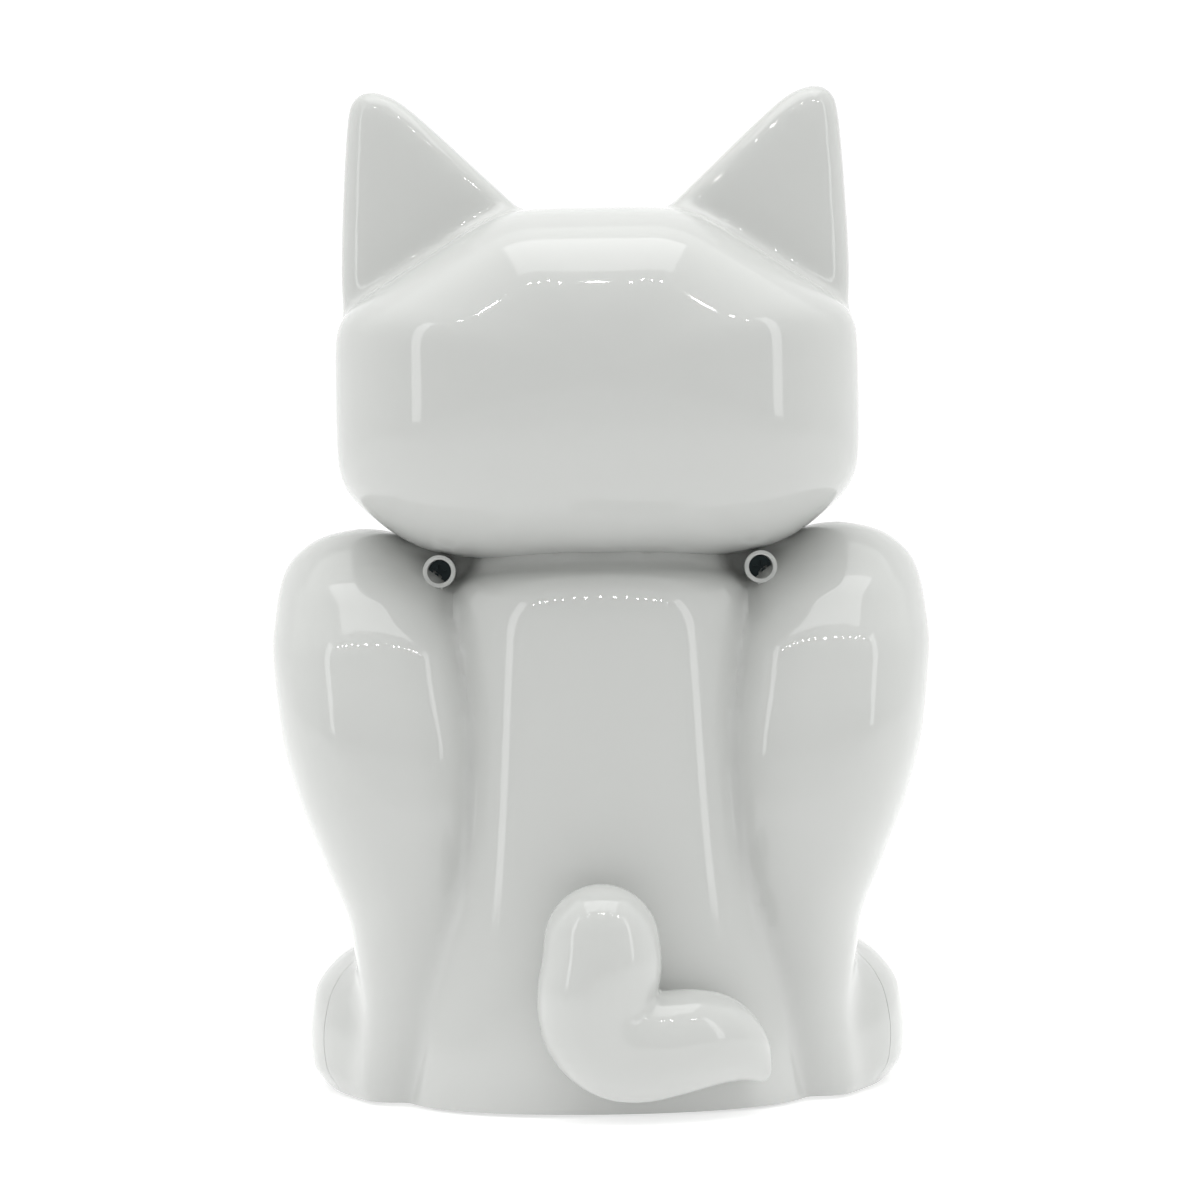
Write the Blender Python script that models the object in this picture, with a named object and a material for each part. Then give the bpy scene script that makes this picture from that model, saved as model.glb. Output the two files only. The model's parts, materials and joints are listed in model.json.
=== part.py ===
"""Beckoning cat figurine: a hollow plastic cat, 150 mm tall, whose raised arm is
rocked by a battery-driven pendulum inside the body.

Frame: +Z up, the cat faces -Y, +X is the cat's left, origin on the ground under the
middle of the figure.  Every number in this script is in millimetres, and so are the
meshes while they are shaped; finish() brings a piece to metres.
"""
import math

import bmesh
import bpy
from mathutils import Matrix, Vector

MM = 0.001
MERGE = 0.002              # points nearer than this are one point, mm

# ---- driving dimensions, mm ------------------------------------------------------
WALL = 1.9                 # moulded shell wall
GAP = 0.3                  # clearance between neighbouring pieces
BODY_SPLIT_Y = -1.0        # parting plane of the body halves
HEAD_SPLIT_Y = 0.0         # parting plane of the head halves
RIM_Z = 0.3                # lower rim of the body shells above the ground

# Horizontal sections, each (z, centre x, half width, front y, back y).
COLUMN_POWER = 2.2
COLUMN = (
    (1, 0, 30, -20, 30),
    (20, 0, 28.2, -22, 29.5),
    (40, 0, 26.2, -23, 28.5),
    (60, 0, 24.8, -23.5, 27),
    (70, 0, 24, -23, 25.5),
    (75, 0, 22.8, -21.5, 23.5),
    (77.5, 0, 20, -18.5, 20),
    (78.3, 0, 16, -15, 16),
)
LEG_POWER = 2.4
LEG = (
    (1, 30, 7, -7, 13),
    (6, 28.5, 8.5, -9, 15),
    (15, 26.8, 9.5, -10, 17),
    (25, 26.8, 10.8, -13, 20),
    (35, 28.2, 13.3, -20, 24),
    (45, 30, 15.4, -25, 26),
    (55, 31.3, 16.5, -27, 26),
    (65, 32.5, 16.5, -27, 23),
    (73, 33.4, 15, -24, 18),
    (79.5, 34.5, 11.9, -16, 10),
    (82.5, 35.3, 7.7, -11, 5),
    (84.3, 36, 2.5, -6, 0),
)
FOOT_POWER = 2.4
FOOT = (
    (1, 32.2, 11.1, -42, 3),
    (4, 32.7, 12.6, -43.3, 4.5),
    (8, 32.7, 12.9, -43.5, 5),
    (14, 32.5, 12.4, -43, 4.5),
    (19, 31.6, 10, -39, 2),
    (22, 30, 6, -33, -2),
    (23.2, 30, 2, -28, -8),
)

# The head: an outline of flat facets (normal, distance from the centre), alike on both
# sides, puffed out to the front and back depths.
HEAD_CENTRE = Vector((0, 4.5, 106))
HEAD_SHARPNESS = 22        # the larger, the tighter the rounding between facets
HEAD_OUTLINE = (
    ((1, 0, 0), 38.7),
    ((0, 0, 1), 25.0),
    ((0, 0, -1), 28.15),
    ((0.534, 0, 0.846), 28.5),
    ((0.623, 0, -0.782), 36.7),
    ((0.11, 0, -0.994), 28.8),
)
HEAD_FRONT = 26.6
HEAD_BACK = 28.6
HEAD_PUFF = 2.35           # 2 is a round profile, larger is boxier

# Flanged tube that joins the head to the body.
NECK_Y = 3.0
NECK_R = 7.5
NECK_BORE_R = 5.9
NECK_FLANGE_R = 10.0
NECK_FLANGE_Z = (74.2, 82.4)    # undersides of the two flanges
NECK_FLANGE_THICK = 1.4

# Horizontal sections of the ear on the cat's left.
EAR_POWER = 3.0
EAR = (
    (108, 28.5, 7, -5, 9),
    (116, 29.2, 9.3, -7, 10),
    (122, 26.6, 12.2, -8, 10.5),
    (131, 25.8, 12.8, -8, 9.5),
    (137, 28.6, 9.7, -6.5, 8.5),
    (143, 32, 6.1, -4.5, 7),
    (147, 33.4, 4.1, -2.5, 5.8),
    (149, 33.5, 2.1, -0.5, 4.5),
    (149.6, 33.5, 0.8, 1, 3),
)

# Tail: centre line (x, y, z) and radius, from the free tip at the top to the root.
TAIL = (
    (0.5, 33.5, 32.6, 1.5),
    (0.5, 34.2, 31, 5.5),
    (0.5, 34.9, 24.2, 8.6),
    (1, 35.2, 17.2, 8.3),
    (-1.5, 34.8, 10.6, 7.6),
    (-8.3, 33.6, 10.2, 7.0),
    (-15.3, 31.5, 10.2, 5.8),
    (-21, 29.4, 6, 2),
)

# Arm that lies on the belly, moulded with the front shell.
RESTING_ARM = (
    (-16, -20, 68, 4.5),
    (-17, -23.5, 60, 5.6),
    (-16, -25, 50, 5.6),
    (-13, -25.5, 41, 5.6),
    (-11, -25.5, 35, 5.4),
    (-10.5, -24.5, 30.5, 2.5),
)

# Raised arm: it turns on an axle that crosses the chest.
AXLE_Y = -12.0
AXLE_Z = 62.0
AXLE_R = 1.0
AXLE_X = (-15.0, 16.0)
AXLE_HOLE_R = 1.3
ARM_X = 11.5
ARM_WALL = 1.4
DRUM_R = 12.5
DRUM_HALF_X = 5.0
ARM_PATH = (
    (ARM_X, -20, 62, 4.7),
    (ARM_X, -27, 62.4, 4.8),
    (ARM_X, -33.6, 65.6, 5.3),
    (ARM_X, -36.6, 72, 5.4),
    (ARM_X, -37.5, 80, 5.3),
    (ARM_X, -37.6, 87, 5.8),
    (ARM_X, -37.6, 92.5, 5.8),
    (ARM_X, -37.8, 96.5, 4.2),
    (ARM_X, -37.9, 98, 1.8),
)
SLOT_HALF_X = 5.4
SLOT_HALF_Z = 8.8

# Pendulum on the same axle.
LEVER_X = -3.0
LEVER_BOTTOM_Z = 38.7
MAGNET_Z = (35.0, 38.4)
MAGNET_R = 3.0
WEIGHT_CENTRE = (LEVER_X, -3.26, 42.0)
WEIGHT_R = 5.0
WEIGHT_HALF_X = 5.0
BRACKET_X = (4.3, -12.5)
BRACKET_HALF_THICK = 0.9

# Base plate with its battery compartment and switch.
BASE_Z = (1.2, 3.0)
CELL_R = 5.25
CELL_LENGTH = 44.0
CELL_CENTRE = (-0.3, 3.0, 8.8)
BOX_X = (-26.0, 25.0)
BOX_Y = (-3.8, 9.8)
BOX_TOP = 15.8
BOX_WALL = 1.1
SWITCH_Y = 19.0
BOARD_Z = (22.5, 24.1)
COIL_R = 6.0
COIL_TOP = 33.4
BOBBIN_R = 2.2
BOBBIN_FLANGE = 0.8
POSTS_X = (-7.5, 1.4)       # board posts
POSTS_Y = -7.2
SWITCH_SLOT = (3.4, 1.5)    # half length and half width

# Fasteners and feet.
SHOULDER_X = 23.5
SHOULDER_Z = 77.7
SHOULDER_BACK_Y = 12.0
BOSS_R = 2.3
SCREW_HOLE_R = 1.75
SHANK_HOLE_R = 1.15
BASE_SCREWS = ((33, -33), (15, 20.5))
BASE_BOSS_R = 3.0
BASE_BOSS_TOP = 14.0
FOOT_BOSS_TOP = 18.5
PADS = ((32, -23), (20, 14))
PAD_R = 3.2
PAD_HEIGHT = 0.9

# ---- materials: (colour, roughness, metallic) ------------------------------------
WHITE_PLASTIC = ((0.84, 0.85, 0.85), 0.18, 0)
INNER_PLASTIC = ((0.75, 0.75, 0.73), 0.5, 0)
BLACK_STEEL = ((0.02, 0.025, 0.025), 0.35, 1)
BRIGHT_STEEL = ((0.6, 0.6, 0.6), 0.3, 1)
MAGNET_METAL = ((0.5, 0.5, 0.52), 0.25, 1)
COPPER = ((0.72, 0.3, 0.12), 0.35, 1)
BOARD_GREEN = ((0.05, 0.25, 0.1), 0.5, 0)
CHIP_BLACK = ((0.02, 0.02, 0.02), 0.45, 0)
CELL_WRAP = ((0.1, 0.12, 0.14), 0.3, 0)
RUBBER = ((0.35, 0.35, 0.35), 0.8, 0)
RED_SLEEVE = ((0.6, 0.02, 0.02), 0.45, 0)
BLACK_SLEEVE = ((0.02, 0.02, 0.02), 0.45, 0)


# ---- scene helpers ----------------------------------------------------------------
def clear_scene():
    for obj in list(bpy.data.objects):
        bpy.data.objects.remove(obj, do_unlink=True)


def collection_named(name):
    group = bpy.data.collections.get(name) or bpy.data.collections.new(name)
    if name not in bpy.context.scene.collection.children:
        bpy.context.scene.collection.children.link(group)
    return group


def new_object(name, bm, location=(0, 0, 0)):
    """An object from a bmesh, with its origin at the location."""
    bmesh.ops.recalc_face_normals(bm, faces=bm.faces)
    mesh = bpy.data.meshes.new(name)
    bm.to_mesh(mesh)
    bm.free()
    obj = bpy.data.objects.new(name, mesh)
    obj.location = location
    parts.objects.link(obj)
    return obj


def finish(obj, finish_values, smooth_angle=35):
    """Bring a piece to metres, give it its own material and shade it smooth."""
    obj.data.transform(Matrix.Scale(MM, 4))
    obj.location *= MM
    colour, roughness, metallic = finish_values
    material = bpy.data.materials.new(obj.name)
    material.use_nodes = True
    shader = material.node_tree.nodes["Principled BSDF"]
    shader.inputs["Base Color"].default_value = (*colour, 1)
    shader.inputs["Roughness"].default_value = roughness
    shader.inputs["Metallic"].default_value = metallic
    obj.data.materials.clear()
    obj.data.materials.append(material)
    obj.data.shade_smooth()
    obj.data.set_sharp_from_angle(angle=math.radians(smooth_angle))
    return obj


def evaluated_copy(obj):
    bpy.context.view_layer.update()
    depsgraph = bpy.context.evaluated_depsgraph_get()
    return bpy.data.meshes.new_from_object(obj.evaluated_get(depsgraph))


def combine(target, tool, operation):
    """Boolean the tool into the target and take the result as the target's mesh."""
    modifier = target.modifiers.new(operation.lower(), "BOOLEAN")
    modifier.operation = operation
    modifier.object = tool
    mesh = evaluated_copy(target)
    bm = bmesh.new()
    bm.from_mesh(mesh)
    bmesh.ops.remove_doubles(bm, verts=bm.verts, dist=MERGE)
    bmesh.ops.dissolve_degenerate(bm, edges=bm.edges, dist=MERGE)
    bm.to_mesh(mesh)
    bm.free()
    target.modifiers.clear()
    target.data = mesh
    bpy.data.objects.remove(tool, do_unlink=True)
    return target


def unite(target, *tools):
    for tool in tools:
        combine(target, tool, "UNION")
    return target


def cut(target, *tools):
    for tool in tools:
        combine(target, tool, "DIFFERENCE")
    return target


def duplicate(obj, name):
    copy = bpy.data.objects.new(name, obj.data.copy())
    copy.location = obj.location
    parts.objects.link(copy)
    return copy


def split(obj, axis, plane, low_name, high_name):
    """Part an object at a plane into two pieces with the usual gap between them."""
    far = 300
    pieces = []
    for name, side in ((low_name, 1), (high_name, -1)):
        low = [-far, -far, -far]
        high = [far, far, far]
        if side > 0:
            low[axis] = plane - GAP / 2
        else:
            high[axis] = plane + GAP / 2
        pieces.append(cut(duplicate(obj, name), box("half_space", low, high)))
    bpy.data.objects.remove(obj, do_unlink=True)
    return pieces


# ---- shape helpers ----------------------------------------------------------------
def box(name, low, high, edge=0.0):
    """A block between two corners; edge rounds its edges."""
    low, high = Vector(low), Vector(high)
    bm = bmesh.new()
    bmesh.ops.create_cube(bm, size=1)
    bmesh.ops.scale(bm, vec=high - low, verts=bm.verts)
    if edge:
        bmesh.ops.bevel(bm, geom=bm.edges[:], offset=edge, segments=2, profile=0.5,
                        affect="EDGES")
    return new_object(name, bm, (low + high) / 2)


def cylinder(name, radius, start, end, segments=20, end_radius=None):
    """A round bar, or a cone where end_radius differs, from start to end."""
    start, end = Vector(start), Vector(end)
    axis = end - start
    bm = bmesh.new()
    bmesh.ops.create_cone(bm, cap_ends=True, segments=segments, radius1=radius,
                          radius2=radius if end_radius is None else end_radius,
                          depth=axis.length)
    turn = Vector((0, 0, 1)).rotation_difference(axis).to_matrix().to_4x4()
    bmesh.ops.transform(bm, matrix=turn, verts=bm.verts)
    return new_object(name, bm, (start + end) / 2)


def tube(name, outer, inner, start, end, segments=20):
    """A straight pipe."""
    start, end = Vector(start), Vector(end)
    over = (end - start).normalized()
    bore = cylinder("bore", inner, start - over, end + over, segments)
    return cut(cylinder(name, outer, start, end, segments), bore)


def signed_power(value, exponent):
    return math.copysign(abs(value) ** exponent, value)


def loft(name, sections, power, sides, inset=0.0, root=0.0):
    """Skin over horizontal superellipses.  A positive inset makes the hollow inside
    the wall, a negative one a grown copy; root lowers the first section."""
    top = sections[-1][0]
    bm = bmesh.new()
    rings = []
    for index, (z, centre, half, front, back) in enumerate(sections):
        half_x = max(half - inset, 0.4)
        half_y = max((back - front) / 2 - inset, 0.4)
        middle_y = (front + back) / 2
        height = z - inset if z > top - 12 else z
        if index == 0:
            height = z - root
        ring = []
        for step in range(sides):
            angle = 2 * math.pi * step / sides
            x = centre + half_x * signed_power(math.cos(angle), 2 / power)
            y = middle_y + half_y * signed_power(math.sin(angle), 2 / power)
            ring.append(bm.verts.new((x, y, height)))
        rings.append(ring)
    for lower, upper in zip(rings, rings[1:]):
        for step in range(sides):
            after = (step + 1) % sides
            bm.faces.new((lower[step], lower[after], upper[after], upper[step]))
    bm.faces.new(list(reversed(rings[0])))
    bm.faces.new(rings[-1])
    bmesh.ops.triangulate(bm, faces=bm.faces)
    return new_object(name, bm)


def mirrored(sections):
    """The sections of the same form on the cat's right."""
    return tuple((z, -centre, half, front, back) for z, centre, half, front, back in sections)


def head_radius(direction, inset):
    """Distance from the head's centre to its skin along a direction."""
    total = 0.0
    for normal, distance in HEAD_OUTLINE:
        unit = Vector(normal).normalized()
        along = unit.x * abs(direction.x) + unit.z * direction.z
        total += (max(along, 0) / (distance - inset)) ** HEAD_SHARPNESS
    depth = (HEAD_BACK if direction.y > 0 else HEAD_FRONT) - inset
    outline = total ** (1 / HEAD_SHARPNESS)
    return (outline ** HEAD_PUFF + (abs(direction.y) / depth) ** HEAD_PUFF) ** (-1 / HEAD_PUFF)


def head_block(name, cuts, inset=0.0):
    """A cube grid pushed out to the head's skin."""
    bm = bmesh.new()
    bmesh.ops.create_cube(bm, size=2)
    bmesh.ops.subdivide_edges(bm, edges=bm.edges[:], cuts=cuts, use_grid_fill=True)
    for vert in bm.verts:
        spread = Vector(tuple(math.tan(value * math.pi / 4) for value in vert.co))
        direction = spread.normalized()
        vert.co = direction * head_radius(direction, inset)
    bmesh.ops.triangulate(bm, faces=bm.faces)
    return new_object(name, bm, HEAD_CENTRE)


def limb(name, path, inset=0.0, resolution=4, bevel=4):
    """A rounded limb: a smooth curve through the path, thick as each point's radius."""
    curve = bpy.data.curves.new(name, "CURVE")
    curve.dimensions = "3D"
    curve.bevel_depth = 1
    curve.bevel_resolution = bevel
    curve.resolution_u = resolution
    curve.use_fill_caps = True
    spline = curve.splines.new("BEZIER")
    spline.bezier_points.add(len(path) - 1)
    for point, (x, y, z, radius) in zip(spline.bezier_points, path):
        point.co = (x, y, z)
        point.handle_left_type = "AUTO"
        point.handle_right_type = "AUTO"
        point.radius = max(radius - inset, 0.3)
    return mesh_from_curve(curve, name)


def wire(name, points, radius):
    """A thin insulated wire through the given points."""
    curve = bpy.data.curves.new(name, "CURVE")
    curve.dimensions = "3D"
    curve.bevel_depth = radius
    curve.bevel_resolution = 1
    curve.use_fill_caps = True
    spline = curve.splines.new("POLY")
    spline.points.add(len(points) - 1)
    for point, position in zip(spline.points, points):
        point.co = (*position, 1)
    return mesh_from_curve(curve, name)


def mesh_from_curve(curve, name):
    """The curve's tube as a closed mesh object; its loose end caps are welded on."""
    guide = bpy.data.objects.new(name + "_guide", curve)
    parts.objects.link(guide)
    mesh = evaluated_copy(guide)
    bm = bmesh.new()
    bm.from_mesh(mesh)
    bmesh.ops.remove_doubles(bm, verts=bm.verts, dist=MERGE)
    bmesh.ops.recalc_face_normals(bm, faces=bm.faces)
    bm.to_mesh(mesh)
    bm.free()
    obj = bpy.data.objects.new(name, mesh)
    obj.matrix_world = guide.matrix_world
    parts.objects.link(obj)
    bpy.data.objects.remove(guide, do_unlink=True)
    return obj


def smooth_points(points, steps):
    """Points along a Catmull-Rom curve through the given ones."""
    route = [Vector(point) for point in points]
    ends = [2 * route[0] - route[1]] + route + [2 * route[-1] - route[-2]]
    result = []
    for a, b, c, d in zip(ends, ends[1:], ends[2:], ends[3:]):
        for step in range(steps):
            t = step / steps
            result.append(0.5 * (2 * b + (c - a) * t + (2 * a - 5 * b + 4 * c - d) * t ** 2
                                 + (3 * b - a - 3 * c + d) * t ** 3))
    return result + [route[-1]]


def screw(name, tip, head, head_radius, shank_radius, head_height=1.5):
    """A cross-recess screw from its tip to the top of its head."""
    tip, head = Vector(tip), Vector(head)
    axis = (head - tip).normalized()
    under_head = head - axis * head_height
    side = Vector((0, 0, 1)) if abs(axis.z) < 0.5 else Vector((1, 0, 0))
    across = axis.cross(side)
    shank = cylinder("shank", shank_radius, tip, under_head + axis * 0.3, 12)
    piece = unite(cylinder(name, head_radius, under_head, head, 20), shank)
    for one, other in ((side, across), (across, side)):
        corner = one * head_radius * 0.62 + other * head_radius * 0.14
        depth = axis * 0.9
        low = head - depth - corner
        high = head + depth + corner
        ordered = [sorted(pair) for pair in zip(low, high)]
        cut(piece, box("recess", [pair[0] for pair in ordered],
                       [pair[1] for pair in ordered]))
    return piece


# ---- the cat's shells ---------------------------------------------------------------
def body_form(name, inset=0.0):
    """Column, haunches with legs, and feet, as one solid that runs on below the rim."""
    column_sides, limb_sides = (20, 14) if inset > 0 else (28, 18)
    form = loft(name, COLUMN, COLUMN_POWER, column_sides, inset, 6 + inset)
    for leg, foot in ((LEG, FOOT), (mirrored(LEG), mirrored(FOOT))):
        unite(form,
              loft("leg", leg, LEG_POWER, limb_sides, inset, 5 + inset),
              loft("foot", foot, FOOT_POWER, limb_sides, inset, 4 + inset))
    return form


def body_shells():
    skin = unite(body_form("body"), limb("resting_arm", RESTING_ARM))
    cut(skin, body_form("hollow", WALL), box("ground", (-60, -60, -20), (60, 60, RIM_Z)))
    for side in (1, -1):
        x = side * SHOULDER_X
        stem = cylinder("boss", BOSS_R, (x, -9, SHOULDER_Z), (x, SHOULDER_BACK_Y, SHOULDER_Z), 16)
        pilot = cylinder("pilot", SHANK_HOLE_R, (x, -7.5, SHOULDER_Z), (x, 14, SHOULDER_Z), 12)
        well = cylinder("well", SCREW_HOLE_R, (x, 4, SHOULDER_Z), (x, 14, SHOULDER_Z), 16)
        unite(skin, stem)
        cut(skin, pilot, well)
        for position_x, y in BASE_SCREWS:
            x = side * position_x
            top = BASE_BOSS_TOP if y > 0 else FOOT_BOSS_TOP
            post = cylinder("post", BASE_BOSS_R, (x, y, BASE_Z[1] + GAP), (x, y, top), 14)
            if y > 0:
                unite(post, box("web", (x - 0.9, y, BASE_Z[1] + 1), (x + 0.9, y + 6, top - 1)))
            unite(skin, post)
            cut(skin, cylinder("pilot", SHANK_HOLE_R, (x, y, 0), (x, y, 11), 12))
    # the neck opening in the roof and the slot for the raised arm in the chest
    cut(skin,
        cylinder("neck_hole", NECK_R + GAP, (0, NECK_Y, 60), (0, NECK_Y, 90), 24),
        cylinder("drum_slot", DRUM_R + 0.4, (ARM_X - SLOT_HALF_X, AXLE_Y, AXLE_Z),
                 (ARM_X + SLOT_HALF_X, AXLE_Y, AXLE_Z), 32),
        box("arm_slot", (ARM_X - SLOT_HALF_X, -40, AXLE_Z - SLOT_HALF_Z),
            (ARM_X + SLOT_HALF_X, AXLE_Y, AXLE_Z + SLOT_HALF_Z)))
    front, rear = split(skin, 1, BODY_SPLIT_Y, "body_front_shell", "body_rear_shell")
    finish(front, WHITE_PLASTIC)
    finish(rear, WHITE_PLASTIC)


def head_shells():
    skin = head_block("head", 9)
    hollow = head_block("hollow", 6, WALL)
    for sections in (EAR, mirrored(EAR)):
        unite(skin, loft("ear", sections, EAR_POWER, 16))
        unite(hollow, loft("ear_hollow", sections[:5], EAR_POWER, 10, WALL))
    cut(skin, hollow,
        cylinder("neck_hole", NECK_R + GAP, (0, NECK_Y, 60), (0, NECK_Y, 90), 24))
    front, rear = split(skin, 1, HEAD_SPLIT_Y, "head_front_shell", "head_rear_shell")
    finish(front, WHITE_PLASTIC)
    finish(rear, WHITE_PLASTIC)


def neck_spool():
    """Flanged tube that holds the head to the roof of the body."""
    flanges = [cylinder("flange", NECK_FLANGE_R, (0, NECK_Y, z),
                        (0, NECK_Y, z + NECK_FLANGE_THICK), 24) for z in NECK_FLANGE_Z]
    low, high = NECK_FLANGE_Z
    spool = cylinder("neck_spool", NECK_R, (0, NECK_Y, low + 0.5), (0, NECK_Y, high + 0.5), 24)
    bore = cylinder("bore", NECK_BORE_R, (0, NECK_Y, low - 2), (0, NECK_Y, high + 4), 24)
    finish(cut(unite(spool, *flanges), bore), INNER_PLASTIC)


def tail():
    piece = limb("tail", TAIL, resolution=4, bevel=4)
    finish(cut(piece, body_form("body_clearance", -GAP)), WHITE_PLASTIC)


# ---- the base ----------------------------------------------------------------------
def base_plate():
    """Plate inside the rim, with the battery box, board posts and screw holes."""
    plate = box("base_plate", (-60, -60, BASE_Z[0]), (60, 60, BASE_Z[1]))
    combine(plate, body_form("inside", WALL + GAP), "INTERSECT")
    low = (BOX_X[0], BOX_Y[0], BASE_Z[0] + 0.4)
    high = (BOX_X[1], BOX_Y[1], BOX_TOP)
    unite(plate, box("battery_box", low, high))
    for x in POSTS_X:
        unite(plate, cylinder("board_post", 1.5, (x, POSTS_Y, 2),
                              (x, POSTS_Y, BOARD_Z[0] - GAP), 10))
    slot_x, slot_y = SWITCH_SLOT
    cut(plate,
        box("cell_space", (BOX_X[0] + BOX_WALL, BOX_Y[0] + BOX_WALL, 0),
            (BOX_X[1] - BOX_WALL, BOX_Y[1] - BOX_WALL, BOX_TOP - BOX_WALL)),
        box("switch_slot", (-slot_x, SWITCH_Y - slot_y, 0), (slot_x, SWITCH_Y + slot_y, 5)))
    for side in (1, -1):
        for x, y in BASE_SCREWS:
            cut(plate,
                cylinder("through", SHANK_HOLE_R + 0.2, (side * x, y, 0), (side * x, y, 5), 12),
                cylinder("well", SCREW_HOLE_R + 0.3, (side * x, y, 0), (side * x, y, 2.2), 16))
    finish(plate, INNER_PLASTIC)


def battery_door():
    """Lid of the battery box, hinged on the two tabs at one end."""
    edge = BOX_WALL + GAP
    door = box("battery_door", (BOX_X[0] + edge, BOX_Y[0] + edge, BASE_Z[0]),
               (BOX_X[1] - edge, BOX_Y[1] - edge, BASE_Z[1] - 0.2))
    for step in range(4):
        x = 16.5 + 1.6 * step
        cut(door, box("grip", (x, 0.5, 0.5), (x + 0.8, 5.5, BASE_Z[0] + 0.5)))
    return finish(door, INNER_PLASTIC)


def battery_cell():
    x, y, z = CELL_CENTRE
    half = CELL_LENGTH / 2
    cell = cylinder("battery_cell", CELL_R, (x - half + 1, y, z), (x + half - 1, y, z), 24)
    nub = cylinder("nub", 1.9, (x + half - 1.5, y, z), (x + half, y, z), 12)
    base = cylinder("base", 4.2, (x - half + 0.5, y, z), (x - half + 1.5, y, z), 16)
    finish(unite(cell, nub, base), CELL_WRAP)


def battery_contacts():
    x, y, z = CELL_CENTRE
    end = BOX_X[0] + BOX_WALL + 0.2
    start = x - CELL_LENGTH / 2 + 0.2
    turns = 2.5
    count = int(turns * 12)
    points = []
    for step in range(count + 1):
        angle = 2 * math.pi * turns * step / count
        radius = 3.6 - 1.4 * step / count
        points.append((end + 0.4 + (start - end - 0.8) * step / count,
                       y + radius * math.cos(angle), z + radius * math.sin(angle)))
    finish(wire("battery_spring", points, 0.35), BRIGHT_STEEL)
    plate_x = BOX_X[1] - BOX_WALL - GAP
    low = (plate_x - 0.5, y - 4, z - 4)
    finish(box("battery_contact_plate", low, (plate_x, y + 4, z + 4)), BRIGHT_STEEL)


def circuit_board():
    """Board between the bearing brackets, wider over the battery box."""
    board = box("circuit_board", (-10.8, -17.2, BOARD_Z[0]), (3.1, 12, BOARD_Z[1]))
    unite(board, box("wing", (-18, -3, BOARD_Z[0]), (16, 12, BOARD_Z[1])))
    finish(board, BOARD_GREEN)
    top = BOARD_Z[1] + GAP
    finish(box("drive_chip", (-12, 3, top), (-6, 8, top + 1.6)), CHIP_BLACK)
    finish(cylinder("capacitor", 2.5, (9, 5, top), (9, 5, top + 6), 20), BLACK_SLEEVE)


def drive_coil():
    """Coil on its flanged bobbin, right under the magnet."""
    base = BOARD_Z[1] + GAP
    x, y = LEVER_X, AXLE_Y
    bobbin = cylinder("coil_bobbin", BOBBIN_R, (x, y, base), (x, y, COIL_TOP), 16)
    unite(bobbin,
          cylinder("lower", COIL_R, (x, y, base), (x, y, base + BOBBIN_FLANGE), 24),
          cylinder("upper", COIL_R, (x, y, COIL_TOP - BOBBIN_FLANGE), (x, y, COIL_TOP), 24))
    finish(cut(bobbin, cylinder("core", 1.1, (x, y, 0), (x, y, 40), 12)), INNER_PLASTIC)
    low = (x, y, base + BOBBIN_FLANGE + 0.1)
    high = (x, y, COIL_TOP - BOBBIN_FLANGE - 0.1)
    finish(tube("drive_coil", COIL_R - 0.3, BOBBIN_R + 0.2, low, high, 24), COPPER)


def wires():
    """Two wires from the battery contacts, round the box, to the board."""
    z = BOARD_Z[1] + 0.9
    left = BOX_X[1] + 1.2
    right = BOX_X[0] - 1.2
    plus = ((left, 3, 9), (left + 1, 3.5, 14), (left - 2, 4.5, 20), (19.5, 5, 25), (14, 8, z))
    minus = ((right, 3, 9), (right - 1, 3.5, 14), (right + 2, 4.5, 20), (-21, 5, 25), (-16, 8, z))
    finish(wire("battery_wire_positive", smooth_points(plus, 3), 0.5), RED_SLEEVE)
    finish(wire("battery_wire_negative", smooth_points(minus, 3), 0.5), BLACK_SLEEVE)


def power_switch():
    y = SWITCH_Y
    body = box("switch_body", (-5.5, y - 3, BASE_Z[1] + GAP), (5.5, y + 3, 8.5))
    cut(body, box("channel", (-3.6, y - 1.3, 2), (3.6, y + 1.3, 6.2)))
    finish(body, CHIP_BLACK)
    slider = box("switch_slider", (-2.9, y - 1.0, 1.0), (-0.4, y + 1.0, 5.8), edge=0.2)
    return finish(slider, CHIP_BLACK)


def fasteners():
    shank_tip_y = -6.9
    head_y = SHOULDER_BACK_Y - 3.2
    for side, word in ((1, "left"), (-1, "right")):
        x = side * SHOULDER_X
        finish(screw("shoulder_screw_" + word, (x, shank_tip_y, SHOULDER_Z),
                     (x, head_y, SHOULDER_Z), SCREW_HOLE_R - 0.1, SHANK_HOLE_R - 0.2), BLACK_STEEL)
        for (position_x, y), place in zip(BASE_SCREWS, ("front", "rear")):
            x_base = side * position_x
            finish(screw("base_screw_%s_%s" % (place, word), (x_base, y, 9.6),
                         (x_base, y, BASE_Z[0] + 0.05), SCREW_HOLE_R + 0.05, SHANK_HOLE_R - 0.2,
                         head_height=0.8), BRIGHT_STEEL)
        for (position_x, y), place in zip(PADS, ("front", "rear")):
            x_pad = side * position_x
            finish(cylinder("rubber_pad_%s_%s" % (place, word), PAD_R, (x_pad, y, 0),
                            (x_pad, y, PAD_HEIGHT), 20), RUBBER)


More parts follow.
